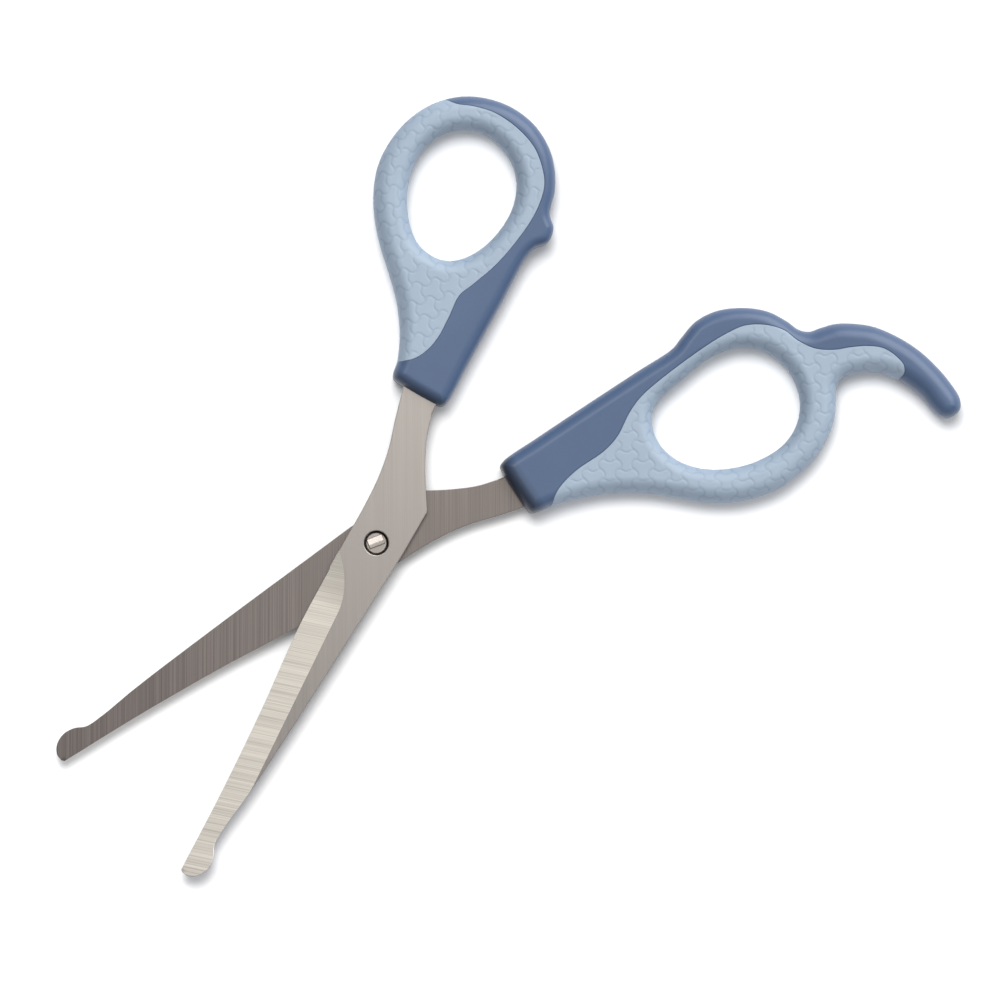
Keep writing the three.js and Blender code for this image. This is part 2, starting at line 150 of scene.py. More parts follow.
# One tile of the grip's paver pattern: the groove down one side of a tile, over and back.
TILE_GROOVE = [
    (-1.5, -0.85), (-2, -0.55), (-2.2, 0), (-2, 0.55), (-1.5, 0.9), (-0.9, 0.92),
    (-0.45, 0.62), (0, 0.5), (0.45, 0.62), (0.9, 0.92), (1.5, 0.9), (2, 0.55),
    (2.2, 0), (2, -0.55), (1.5, -0.85),
]
TILE_ACROSS, TILE_HALF, TILE_UP = 6.2, 3.1, 1.8
UPPER_TILE_TURN, LOWER_TILE_TURN = math.radians(42.77), math.radians(146.32)
GROOVE_WIDTH, GROOVE_DEPTH = 0.15, 0.075
RELIEF_START, RELIEF_FADE = 0.3, 0.5  # from the parting line, to where the grooves are full

# ---------------------------------------------------------------- lines in plan

KNOT_POINTS = 40  # from one knot of a curve to the next, before they are spaced evenly


def smooth(knots, closed=False, step=CURVE_STEP):
    """Evenly spaced rows on a centripetal Catmull-Rom curve; columns after x and y go along."""
    k = np.array(knots, float)
    ends = (k[-1], k[0], k[1]) if closed else (2 * k[0] - k[1], 2 * k[-1] - k[-2])
    p = np.vstack([ends[0], k, *ends[1:]])
    rows = []
    share = np.linspace(0, 1, KNOT_POINTS, endpoint=False)[:, None]
    for a, b, c, d in zip(p, p[1:], p[2:], p[3:]):
        ab, bc, cd = (math.sqrt(math.dist(u[:2], v[:2])) for u, v in ((a, b), (b, c), (c, d)))
        t = ab + bc * share
        ahead = ab + bc - t
        one = ((ab - t) * a + t * b) / ab
        two = (ahead * b + (t - ab) * c) / bc
        three = ((ahead + cd) * c + (t - ab - bc) * d) / cd
        left = (ahead * one + t * two) / (ab + bc)
        right = ((ahead + cd) * two + (t - ab) * three) / (bc + cd)
        rows.append((ahead * left + (t - ab) * right) / bc)
    rows = np.vstack([*rows, p[-2]])
    made = respaced(rows, rows[:, :2], step)
    return made[:-1] if closed else made


def respaced(rows, along, step):
    """Rows interpolated at an even step of the length of the line `along`."""
    length = np.r_[0, np.cumsum(np.linalg.norm(np.diff(along, axis=0), axis=1))]
    count = max(round(length[-1] / step), 2)
    at = np.linspace(0, length[-1], count + 1)
    return np.column_stack([np.interp(at, length, column) for column in rows.T])


def leftward(line, closed=False):
    """Unit normals to the left of a line's direction."""
    xy = line[:, :2]
    along = np.roll(xy, -1, 0) - np.roll(xy, 1, 0) if closed else np.gradient(xy, axis=0)
    along = along / np.linalg.norm(along, axis=1)[:, None]
    return np.column_stack([-along[:, 1], along[:, 0]])


def anticlockwise(loop):
    x, y = loop[:, 0], loop[:, 1]
    area = np.sum(x * np.roll(y, -1) - np.roll(x, -1) * y)
    return loop if area > 0 else loop[::-1]


def rim(loop, around_material=True):
    """A closed loop of x, y, rounding radius, and the unit normal into the material."""
    loop = anticlockwise(loop)
    normal = leftward(loop, closed=True)
    return np.column_stack([loop, normal if around_material else -normal])


def batches(points, size=3000):
    return [points[i : i + size] for i in range(0, len(points), size)]


def nearest(points, line, closed=False):
    """Distance from each point to a line, and the line's row at the foot of that distance."""
    distance, feet = [], []
    for part in batches(points):
        square = (line[:, :2] ** 2).sum(1) - 2 * part @ line[:, :2].T
        index = square.argmin(1)
        best = np.full(len(part), np.inf)
        foot = np.zeros((len(part), line.shape[1]))
        for start in (index - 1, index):
            if closed:
                a, b = line[start % len(line)], line[(start + 1) % len(line)]
            else:
                a = line[np.clip(start, 0, len(line) - 1)]
                b = line[np.clip(start + 1, 0, len(line) - 1)]
            span = b - a
            reach = np.maximum((span[:, :2] ** 2).sum(1), 1e-12)
            t = np.clip(((part - a[:, :2]) * span[:, :2]).sum(1) / reach, 0, 1)
            row = a + t[:, None] * span
            far = np.linalg.norm(part - row[:, :2], axis=1)
            closer = far < best
            best[closer], foot[closer] = far[closer], row[closer]
        distance.append(best)
        feet.append(foot)
    return np.concatenate(distance), np.vstack(feet)


def inside(points, loop):
    """Which points lie inside a closed loop."""
    x0, y0 = loop[:, 0], loop[:, 1]
    x1, y1 = np.roll(x0, -1), np.roll(y0, -1)
    slope = (x1 - x0) / np.where(y1 == y0, 1e-12, y1 - y0)
    found = []
    for part in batches(points):
        x, y = part[:, :1], part[:, 1:2]
        crossed = ((y0 > y) != (y1 > y)) & (x < slope * (y - y0) + x0)
        found.append(crossed.sum(1) % 2 == 1)
    return np.concatenate(found)


def within(points, loops):
    """Which points lie inside the first loop and outside the others."""
    ok = inside(points, loops[0])
    for hole in loops[1:]:
        ok &= ~inside(points, hole)
    return ok


def honeycomb(loop, step):
    """Points of a triangular lattice over a loop's box."""
    low, high = loop[:, :2].min(0), loop[:, :2].max(0)
    x, y = np.meshgrid(
        np.arange(low[0], high[0], step), np.arange(low[1], high[1], step * math.sqrt(0.75))
    )
    x[1::2] += step / 2
    return np.column_stack([x.ravel(), y.ravel()])


def circle(radius, step, rounding=0.0):
    count = max(16, round(math.tau * radius / step))
    turn = np.arange(count) * math.tau / count
    x, y = radius * np.cos(turn), radius * np.sin(turn)
    return np.column_stack([x, y, np.full(count, rounding)])


# ---------------------------------------------------------------- rounded rims

OWN_RIM = 0.9  # a point is left out where a rim is nearer than this share of its inset


def quarter(distance, radius):
    """How far a quarter-round rim has fallen at a distance from it, for each unit of height."""
    share = np.clip(1 - distance / np.maximum(radius, 1e-6), 0, 1)
    return 1 - np.sqrt(1 - share**2)


def rim_depth(points, rims):
    """Distance to the nearest rim, and that rim's row there."""
    found = [nearest(points, one, closed=True) for one in rims]
    distance, row = found[0]
    for other, other_row in found[1:]:
        closer = other < distance
        distance = np.where(closer, other, distance)
        row = np.where(closer[:, None], other_row, row)
    return distance, row


def rim_loops(rims, angle):
    """Rows of points that follow each rim where its rounding falls away."""
    clouds = []
    for one in rims:
        for turn in np.radians(np.arange(angle, 90 + angle / 2, angle)):
            inset = one[:, 2] * (1 - math.cos(turn))
            loop = one[:, :2] + one[:, 3:5] * inset[:, None]
            depth, _ = rim_depth(loop, rims)
            clouds.append(loop[depth > inset * OWN_RIM])
    return np.vstack(clouds)


# ---------------------------------------------------------------- meshes

# Attributes of the meshes: a vertex's place in its lever's frame, and how deep in a groove it is.
PLACE, GROOVE = "lever_place", "groove"


def plate(loops, cloud, creases, faces_at, wall_rows):
    """A closed mesh over a region in plan.

    loops bound the region, the outer one first; cloud and creases are points and lines within it;
    faces_at(points) gives the heights of the top and bottom. Returns vertices, triangles and quads.
    """
    lines = [(loop[:, :2], True) for loop in loops] + [(crease, False) for crease in creases]
    edges, first = [], 0
    for line, closed in lines:
        last = first + len(line) - 1
        edges += [(i, i + 1) for i in range(first, last)]
        if closed:
            edges.append((last, first))
        first = last + 1
    points = [Vector(p) for line, _ in lines for p in line] + [Vector(p) for p in cloud]
    found, _, triangles, _, _, _ = delaunay_2d_cdt(points, edges, [], 0, 1e-5)
    xy = np.array([p[:] for p in found])
    triangles = np.array([t for t in triangles if len(t) == 3])
    triangles = triangles[within(xy[triangles].mean(1), [loop[:, :2] for loop in loops])]
    used, triangles = np.unique(triangles, return_inverse=True)
    triangles = triangles.reshape(-1, 3)
    xy = xy[used]
    top, bottom = faces_at(xy)
    return raised(xy, triangles, top, bottom, wall_rows)


def raised(xy, triangles, top, bottom, wall_rows):
    """Top and bottom faces, and walls along the edges that only one triangle uses."""
    count = len(xy)
    directed = np.vstack([triangles[:, [0, 1]], triangles[:, [1, 2]], triangles[:, [2, 0]]])
    keys = set(map(tuple, directed.tolist()))
    border = np.array([e for e in directed.tolist() if (e[1], e[0]) not in keys])
    rim_ids = np.unique(border)
    place = np.full(count, -1)
    place[rim_ids] = np.arange(len(rim_ids))
    vertices = [np.column_stack([xy, top]), np.column_stack([xy, bottom])]
    level = [np.arange(count)]
    for row in range(1, wall_rows):
        share = row / wall_rows
        height = top[rim_ids] * (1 - share) + bottom[rim_ids] * share
        vertices.append(np.column_stack([xy[rim_ids], height]))
        level.append(2 * count + (row - 1) * len(rim_ids) + place)
    level.append(count + np.arange(count))
    a, b = border.T
    quads = [
        np.column_stack([upper[b], upper[a], lower[a], lower[b]])
        for upper, lower in zip(level, level[1:])
    ]
    both = np.vstack([triangles, triangles[:, ::-1] + count])
    return np.vstack(vertices), both, np.vstack(quads)


def vertex_normals(vertices, triangles, quads):
    normal = np.zeros_like(vertices)
    for faces in (triangles, quads[:, [0, 1, 2]], quads[:, [0, 2, 3]]):
        a, b, c = (vertices[faces[:, i]] for i in range(3))
        face = np.cross(b - a, c - a)
        for i in range(3):
            np.add.at(normal, faces[:, i], face)
    return normal / np.maximum(np.linalg.norm(normal, axis=1), 1e-12)[:, None]


def add_object(name, data):
    made = bpy.data.objects.new(name, data)
    bpy.context.scene.collection.objects.link(made)
    return made


def make_piece(name, mesh_data, materials, pose, sharp=30):
    """A Blender object in metres, from a mesh in the millimetres of its lever's own frame."""
    vertices, triangles, quads = mesh_data
    turn, shift = np.array(pose.to_3x3()), np.array(pose.translation)
    mesh = bpy.data.meshes.new(name)
    placed = vertices @ turn.T * MM + shift
    mesh.from_pydata(placed.tolist(), [], triangles.tolist() + quads.tolist())
    mesh.polygons.foreach_set("use_smooth", np.ones(len(mesh.polygons), bool))
    mesh.set_sharp_from_angle(angle=math.radians(sharp))
    place = mesh.attributes.new(PLACE, "FLOAT_VECTOR", "POINT")
    place.data.foreach_set("vector", vertices.astype(np.float32).ravel())
    for material in materials:
        mesh.materials.append(material)
    return add_object(name, mesh)


scissors = []  # every piece that has been declared


def declare(piece, body, node):
    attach(piece, body)
    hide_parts(node)
    scissors.append(piece)


# ---------------------------------------------------------------- handles


class Moulding:
    """The whole handle of one lever: its rims and the parting line between core and grip."""

    def __init__(self, outline, hole, seam):
        rounded_hole = [(x, y, HOLE_RADIUS) for x, y in hole]
        self.rims = [
            rim(smooth(outline, closed=True)),
            rim(smooth(rounded_hole, closed=True), around_material=False),
        ]
        for one in self.rims:
            one[:, :2] += one[:, 3:] * SHELL_INSET
        self.seam = smooth(seam, step=SEAM_STEP)

    def height(self, points):
        distance, row = rim_depth(points, self.rims)
        return HALF_HANDLE - RIM_HEIGHT * row[:, 2] * quarter(distance, row[:, 2])

    def seam_line(self, side, step):
        """The parting line as one piece meets it, and where its ends lie on the outline."""
        outline = self.rims[0]
        line = self.seam + leftward(self.seam) * side * SEAM_GAP
        inner = np.flatnonzero(inside(line, outline[:, :2]))
        first, last = inner[0], inner[-1]
        start, start_place = crossing(outline, line[first - 1], line[first])
        stop, stop_place = crossing(outline, line[last], line[last + 1])
        line = np.vstack([start, line[first : last + 1], stop])
        surface = np.column_stack([line, self.height(line)])
        return respaced(line, surface, step), start_place, stop_place


def crossing(outline, a, b):
    """Where the step from a to b crosses a closed outline: the point, and its place in the rows."""
    here = outline[:, :2]
    edge = np.roll(here, -1, 0) - here
    step = b - a
    gap = here - a
    twist = step[0] * edge[:, 1] - step[1] * edge[:, 0]
    along = (gap[:, 0] * edge[:, 1] - gap[:, 1] * edge[:, 0]) / twist
    across = (gap[:, 0] * step[1] - gap[:, 1] * step[0]) / twist
    hit = np.flatnonzero((along >= 0) & (along <= 1) & (across >= 0) & (across <= 1))[0]
    return a + along[hit] * step, hit + across[hit]


def arc(outline, start, stop):
    """The closed outline's rows from one place to another, going round anticlockwise."""
    spare = 0.4  # keeps clear of the parting line's own end points
    if stop < start:
        stop += len(outline)
    rows = np.arange(math.ceil(start + spare), math.floor(stop - spare) + 1)
    return outline[rows % len(outline), :2]


def moulded(moulding, side, step, wall_rows):
    """The core (side 1, to the left of the parting line) or the grip (side -1)."""
    line, start, stop = moulding.seam_line(side, step)
    outline, hole = moulding.rims
    if side > 0:
        border = np.vstack([line, arc(outline, stop, start)])
        loops = [border]
    else:
        border = np.vstack([line[::-1], arc(outline, start, stop)])
        loops = [border, hole[:, :2]]
    lattice = honeycomb(border, step)
    distance, row = rim_depth(lattice, moulding.rims)
    lattice = lattice[distance > row[:, 2] + LATTICE_CLEAR * step]
    cloud = np.vstack([rim_loops(moulding.rims, RIM_ANGLE), lattice])
    cloud = cloud[nearest(cloud, line)[0] > SEAM_CLEAR]
    beside = np.vstack([line + leftward(line) * side * shift for shift in SEAM_ROWS])
    beside = beside[rim_depth(beside, moulding.rims)[0] > RIM_CLEAR]
    cloud = np.vstack([cloud, beside])
    cloud = cloud[within(cloud, loops)]

    def faces_at(points):
        seam_distance, _ = nearest(points, line)
        top = moulding.height(points) - SEAM_RADIUS * quarter(seam_distance, SEAM_RADIUS)
        return top, -top

    return plate(loops, cloud, [], faces_at, wall_rows), line


def paver(points, turn):
    """Distance to the nearest groove of the paver pattern."""
    u = points[:, 0] * math.cos(turn) + points[:, 1] * math.sin(turn)
    v = points[:, 1] * math.cos(turn) - points[:, 0] * math.sin(turn)
    groove = np.array(TILE_GROOVE)
    best = np.full(len(points), np.inf)
    for shift in (-1, 0, 1):
        row = np.round(v / TILE_UP) + shift
        column = np.round((u - TILE_HALF * row) / TILE_ACROSS)
        local = np.column_stack([u - TILE_ACROSS * column - TILE_HALF * row, v - TILE_UP * row])
        best = np.minimum(best, nearest(local, groove)[0])
    return best


def embossed(mesh_data, moulding, line, turn):
    """The grip's mesh with the paver grooves sunk into it, and how deep each vertex lies."""
    vertices, triangles, quads = mesh_data
    plan, which = np.unique(vertices[:, :2], axis=0, return_inverse=True)
    which = which.ravel()
    distance, row = rim_depth(plan, moulding.rims)
    radius, normal = row[:, 2], row[:, 3:5]
    tilt = np.arccos(np.clip(1 - distance / radius, 0, 1))
    unrolled = radius * (1 + RIM_HEIGHT) / 2 * (math.pi / 2 - tilt)
    top = HALF_HANDLE - RIM_HEIGHT * radius * quarter(distance, radius)
    seam_distance, _ = nearest(plan, line)
    below = np.maximum(top[which] - np.abs(vertices[:, 2]), 0)
    below[seam_distance[which] < SEAM_RADIUS] = 0
    rounded = (distance < radius)[which, None]
    reach = (radius - unrolled)[which] - below
    flat = row[which, :2] + normal[which] * reach[:, None]
    spot = np.where(rounded, flat, vertices[:, :2])
    fade = np.clip((seam_distance[which] - RELIEF_START) / RELIEF_FADE, 0, 1)
    groove = np.exp(-((paver(spot, turn) / GROOVE_WIDTH) ** 2)) * fade
    outward = vertex_normals(vertices, triangles, quads)
    sunk = vertices - outward * (groove * GROOVE_DEPTH)[:, None]
    return (sunk, triangles, quads), groove


# ---------------------------------------------------------------- blades

FACES_UP = 0.3  # least upward part of the normal of a top face
LEAST_GRIND = 0.01  # mm ground away where the bevel counts as begun


def bevel_height(points):
    """Height of the ground bevel, carried on past the blade's back and heel."""
    x, y = points[:, 0], points[:, 1]
    across = (y - EDGE_OFFSET - x * math.tan(EDGE_SLOPE)) * math.cos(EDGE_SLOPE)
    heel = HEEL_RISE * np.maximum(HEEL_START - x, 0) ** 2
    return BLADE_LOW + EDGE_LAND + BEVEL_RISE * across + heel


def bevel_crease(outline):
    """The line where the bevel meets the flat of the blade."""
    x = np.arange(CREASE_START, CREASE_END, BLADE_STEP)
    rise = BLADE_HIGH - BLADE_LOW - EDGE_LAND - HEEL_RISE * np.maximum(HEEL_START - x, 0) ** 2
    y = EDGE_OFFSET + x * math.tan(EDGE_SLOPE) + rise / BEVEL_RISE / math.cos(EDGE_SLOPE)
    line = np.column_stack([x, y])
    clear = nearest(line, outline, closed=True)[0] > CREASE_CLEAR
    return line[clear & inside(line, outline[:, :2])]


def blade_rim():
    """The blade's outline: the tang's square corners, then its four curved sides."""
    sides = [(np.array(BLADE_TANG, float), BLADE_CHAMFER)]
    for knots, chamfer in (
        (BLADE_BACK, BLADE_CHAMFER),
        (BLADE_EDGE, EDGE_CHAMFER),
        (BLADE_TIP, BLADE_CHAMFER),
        (BLADE_SHANK, BLADE_CHAMFER),
    ):
        sides.append((smooth(knots, step=BLADE_STEP), chamfer))
    rows = [np.column_stack([line, np.full(len(line), chamfer)]) for line, chamfer in sides]
    return rim(np.vstack(rows))


def blade_cloud(rims, crease):
    """Points inside the blade: finest at the bevel's heel, with rows along every chamfer."""
    coarse = honeycomb(rims[0], BLADE_LATTICE)
    ahead, behind = coarse[:, 0] > HEEL_BOX[1, 0], coarse[:, 0] < HEEL_BOX[0, 0]
    cloud = np.vstack([coarse[ahead | behind], honeycomb(HEEL_BOX, HEEL_LATTICE)])
    distance, row = rim_depth(cloud, rims)
    clear = distance > row[:, 2] + BLADE_CLEAR
    cloud = cloud[clear & (nearest(cloud, crease)[0] > BLADE_CLEAR)]
    chamfers = rim_loops(rims, CHAMFER_ANGLE)
    chamfers = chamfers[nearest(chamfers, crease)[0] > CHAMFER_CLEAR]
    cloud = np.vstack([cloud, chamfers])
    return cloud[within(cloud, [one[:, :2] for one in rims])]


def blade_mesh(hole_radius):
    outline = blade_rim()
    bore = rim(circle(hole_radius, ROUND_STEP, BORE_CHAMFER), around_material=False)
    rims = [outline, bore]
    crease = bevel_crease(outline)

    def faces_at(points):
        distance, row = rim_depth(points, rims)
        fall = row[:, 2] * quarter(distance, row[:, 2])
        return np.minimum(BLADE_HIGH, bevel_height(points)) - fall, BLADE_LOW + fall

    return plate(rims, blade_cloud(rims, crease), [crease], faces_at, BLADE_WALL_ROWS)


def grinding(mesh_data):
    """Which finish each face of a blade has: 0 the flat, 1 the bevel, 2 the inner face."""
    vertices, triangles, quads = mesh_data
    faces = [vertices[triangles], vertices[quads]]
    centre = np.vstack([face.mean(1) for face in faces])
    normal = np.vstack([np.cross(f[:, 1] - f[:, 0], f[:, 2] - f[:, 0]) for f in faces])
    up = normal[:, 2] / np.maximum(np.linalg.norm(normal, axis=1), 1e-12)
    ground_away = bevel_height(centre) < BLADE_HIGH - LEAST_GRIND
    index = np.zeros(len(centre), int)
    index[ground_away & (up > FACES_UP)] = 1
    index[up < -FACES_UP] = 2
    return index


# ---------------------------------------------------------------- pivot

HOLE_UPPER, HOLE_LOWER = 2.25, 2.2
SHANK_RADIUS = 2.03
SCREW_END = BLADE_HIGH - 0.45
END_CHAMFER = 0.2
TONGUE_LENGTH, TONGUE_WIDTH, TONGUE_TURN = 3.1, 1.9, math.radians(141)
TONGUE_SHIFT = 0.3  # of the staked tongue, towards its sloping side
TONGUE_TOP = BLADE_HIGH + 0.1
TONGUE_BLUNT = 0.12
TONGUE_FACET, FACET_SLOPE = 0.15, 0.2  # where the facet along one side starts, and its slope
HEAD_RADIUS, HEAD_HIGH, HEAD_LOW, HEAD_CROWN = 3.6, -2.6, -4.0, 0.5
SLOT_HALF, SLOT_DEPTH, SLOT_TURN = 0.5, 0.6, math.radians(20)
SLOT_INSET = 0.02  # from the slot's ends to the head's side
WASHER_INNER, WASHER_OUTER, WASHER_LOW, WASHER_HIGH = 2.2, 3.3, -2.4, -2.1
WASHER_ROUNDING = 0.1
LEDGE = 0.02  # width in plan of a wall that is upright


def turned(points, turn):
    c, s = math.cos(turn), math.sin(turn)
    x, y = points[:, 0], points[:, 1]
    return np.column_stack([x * c + y * s, y * c - x * s])


def straight(ends, turn):
    """A line of points between two ends, turned by an angle."""
    ends = np.array(ends, float)
    return turned(respaced(ends, ends, PIVOT_STEP), -turn)


def rectangle(half_length, low, high, turn):
    """A closed line of points round a rectangle, turned by an angle."""
    corners = [(-half_length, low), (half_length, low), (half_length, high), (-half_length, high)]
    corners = np.array([*corners, corners[0]], float)
    return turned(respaced(corners, corners, PIVOT_STEP)[:-1], -turn)


def tongue_rise(points):
    """Height of the staked tongue above the screw's end."""
    along, across = turned(points, TONGUE_TURN).T
    full = TONGUE_TOP - SCREW_END
    steep = full / TONGUE_BLUNT
    ends = (TONGUE_LENGTH / 2 - np.abs(along)) * steep
    sides = (TONGUE_WIDTH / 2 - np.abs(across - TONGUE_SHIFT)) * steep
    facet = full - (across - TONGUE_FACET) * FACET_SLOPE
    return np.clip(np.minimum(np.minimum(ends, sides), facet), 0, full)


def screw_closed_creases():
    """The shank's end and its chamfer, the foot of the head, and the tongue's foot and top."""
    half, reach = TONGUE_LENGTH / 2, TONGUE_WIDTH / 2
    low, high = TONGUE_SHIFT - reach, TONGUE_SHIFT + reach
    radii = (SHANK_RADIUS - END_CHAMFER, SHANK_RADIUS, SHANK_RADIUS + LEDGE)
    lines = [circle(radius, ROUND_STEP)[:, :2] for radius in radii]
    lines.append(rectangle(half, low, high, TONGUE_TURN))
    blunt = TONGUE_BLUNT
    lines.append(rectangle(half - blunt, low + blunt, high - blunt, TONGUE_TURN))
    return [np.vstack([line, line[:1]]) for line in lines]


def screw_open_creases():
    """The ridge of the tongue's facet, and the upper and lower edges of the head's slot."""
    half = TONGUE_LENGTH / 2 - TONGUE_BLUNT
    lines = [straight([(-half, TONGUE_FACET), (half, TONGUE_FACET)], TONGUE_TURN)[1:-1]]
    slot_end = math.sqrt(HEAD_RADIUS**2 - SLOT_HALF**2) - SLOT_INSET
    for across in (SLOT_HALF, SLOT_HALF + LEDGE):
        for y in (-across, across):
            lines.append(straight([(-slot_end, y), (slot_end, y)], SLOT_TURN))
    return lines


def screw_mesh():
    head = rim(circle(HEAD_RADIUS, PIVOT_STEP, HEAD_CROWN))
    creases = screw_closed_creases() + screw_open_creases()
    cloud = np.vstack([honeycomb(head, PIVOT_LATTICE), rim_loops([head], HEAD_ANGLE)])
    clear = np.min([nearest(cloud, line)[0] for line in creases], axis=0) > PIVOT_CLEAR
    cloud = cloud[clear & inside(cloud, head[:, :2])]

    def faces_at(points):
        radius = np.linalg.norm(points, axis=1)
        chamfer = np.clip(radius - SHANK_RADIUS + END_CHAMFER, 0, END_CHAMFER)
        end = SCREW_END - chamfer + tongue_rise(points)
        top = np.where(radius < SHANK_RADIUS + LEDGE / 2, end, HEAD_HIGH)
        slot = np.abs(turned(points, SLOT_TURN)[:, 1]) < SLOT_HALF + LEDGE / 2
        distance, row = rim_depth(points, [head])
        crown = HEAD_CROWN * quarter(distance, row[:, 2])
        bottom = np.maximum(HEAD_LOW + crown, HEAD_LOW + slot * SLOT_DEPTH)
        return top, bottom

    return plate([head], cloud, creases, faces_at, SCREW_WALL_ROWS)


def washer_mesh():
    outer = rim(circle(WASHER_OUTER, PIVOT_STEP, WASHER_ROUNDING))
    inner = rim(circle(WASHER_INNER, PIVOT_STEP, WASHER_ROUNDING), around_material=False)
    rows = rim_loops([outer, inner], CHAMFER_ANGLE)
    cloud = np.vstack([honeycomb(outer, PIVOT_LATTICE), rows])
    cloud = cloud[within(cloud, [outer[:, :2], inner[:, :2]])]

    def faces_at(points):
        distance, row = rim_depth(points, [outer, inner])
        fall = row[:, 2] * quarter(distance, row[:, 2])
        return WASHER_HIGH - fall, WASHER_LOW + fall

    return plate([outer, inner], cloud, [], faces_at, WASHER_WALL_ROWS)


# ---------------------------------------------------------------- materials

# Colours are linear red, green and blue. Sizes, depths and places are in millimetres, places
# along the lever from the pivot, and each roughness is its least and its most.
GRIP_COLOUR, GRIP_COLOUR_PALE = (0.285, 0.35, 0.425), (0.30, 0.37, 0.445)
# Painted shade: the groove colour darkens the grooves.
# Painted shade: the side colour darkens the grip's upright faces.
GRIP_SIDE_PAINTED_SHADE, GROOVE_PAINTED_SHADE = (0.25, 0.32, 0.41), (0.15, 0.205, 0.29)
GRIP_CLOUD, GRIP_GRAIN, GRIP_GRAIN_DEPTH = 8, 0.11, 0.012
GRIP_ROUGHNESS, GRIP_SPECULAR = (0.46, 0.62), 0.4
GROOVE_SHADE = (0.15, 0.5)  # how dark the grooves are on level faces and on tilted ones
GROOVE_SHADE_TILT = 0.6  # where they are darkest
LEVEL, UPRIGHT = 0.98, 0.1  # upward part of the normal of faces that count as level or upright

CORE_COLOUR, CORE_COLOUR_PALE = (0.051, 0.087, 0.166), (0.057, 0.097, 0.18)
CORE_CLOUD, CORE_GRAIN, CORE_GRAIN_DEPTH = 10, 0.08, 0.004
CORE_WAVE, CORE_WAVE_DEPTH = 0.7, 0.012
CORE_ROUGHNESS = (0.34, 0.44)
MOUTH_PAINTED_SHADE, MOUTH_SHADE_ENDS = (0.012, 0.02, 0.04), (-30.2, -27.6)  # painted shade on the ferrule's open end, and the places between which it fades in

LINE_LENGTH, LINE_WIDTH, LINE_DEPTH = 60.0, 0.16, 0.008  # grinding lines on the steel
BAND_WIDTH = 2.5  # broad bands along them
TONE_ENDS = (-28, 70)  # where the steel is lightest and darkest
STEEL_ROUGHNESS_SPREAD = 0.05


class Nodes:
    """A material's node tree, with short calls for the nodes used here."""

    def __init__(self, name):
        self.material = bpy.data.materials.new(name)
        self.material.use_nodes = True
        self.tree = self.material.node_tree
        self.shader = self.tree.nodes["Principled BSDF"]

    def link(self, source, target):
        self.tree.links.new(source, target)

    def add(self, kind, **settings):
        node = self.tree.nodes.new(kind)
        for key, value in settings.items():
            setattr(node, key, value)
        return node

    def place(self):
        """Millimetres in the piece's own lever frame."""
        return self.add("ShaderNodeAttribute", attribute_name=PLACE).outputs["Vector"]

    def along_blade(self):
        axes = self.add("ShaderNodeSeparateXYZ")
        self.link(self.place(), axes.inputs["Vector"])
        return axes.outputs["X"]

    def noise(self, size, detail=2.0, roughness=0.5, turn=0):
        """Noise with features of this size in mm, along x, y and z turned by some degrees."""
        mapping = self.add("ShaderNodeMapping", vector_type="TEXTURE")
        mapping.inputs["Rotation"].default_value = (0, 0, math.radians(turn))
        mapping.inputs["Scale"].default_value = size if isinstance(size, tuple) else [size] * 3
        self.link(self.place(), mapping.inputs["Vector"])
        node = self.add("ShaderNodeTexNoise")
        node.inputs["Scale"].default_value = 1.0
        node.inputs["Detail"].default_value = detail
        node.inputs["Roughness"].default_value = roughness
        self.link(mapping.outputs["Vector"], node.inputs["Vector"])
        return node.outputs["Fac"]

    def ranged(self, source, low, high, from_low=0.3, from_high=0.7):
        node = self.add("ShaderNodeMapRange")
        for key, value in (
            ("From Min", from_low), ("From Max", from_high), ("To Min", low), ("To Max", high)
        ):
            node.inputs[key].default_value = value
        self.link(source, node.inputs["Value"])
        return node.outputs["Result"]

    def mixed(self, factor, one, other):
        node = self.add("ShaderNodeMix", data_type="RGBA")
        self.link(factor, node.inputs["Factor"])
        for socket, value in ((node.inputs["A"], one), (node.inputs["B"], other)):
            if isinstance(value, tuple):
                socket.default_value = (*value, 1)
            else:
                self.link(value, socket)
        return node.outputs["Result"]

    def bump(self, source, distance, strength=1.0, after=None):
        """Distance is the height of the bump in millimetres."""
        node = self.add("ShaderNodeBump")
        node.inputs["Strength"].default_value = strength
        node.inputs["Distance"].default_value = distance * MM
        self.link(source, node.inputs["Height"])
        if after is not None:
            self.link(after, node.inputs["Normal"])
        return node.outputs["Normal"]

    def times(self, one, other):
        node = self.add("ShaderNodeMath", operation="MULTIPLY")
        self.link(one, node.inputs[0])
        self.link(other, node.inputs[1])
        return node.outputs["Value"]

    def scaled(self, colour, factor):
        node = self.add("ShaderNodeVectorMath", operation="SCALE")
        self.link(colour, node.inputs[0])
        self.link(factor, node.inputs["Scale"])
        return node.outputs["Vector"]

    def tilt(self):
        """0 on level faces, 1 on upright ones."""
        axes = self.add("ShaderNodeSeparateXYZ")
        normal = self.add("ShaderNodeNewGeometry").outputs["True Normal"]
        self.link(normal, axes.inputs["Vector"])
        size = self.add("ShaderNodeMath", operation="ABSOLUTE")
        self.link(axes.outputs["Z"], size.inputs[0])
        return self.ranged(size.outputs["Value"], 1, 0, UPRIGHT, LEVEL)


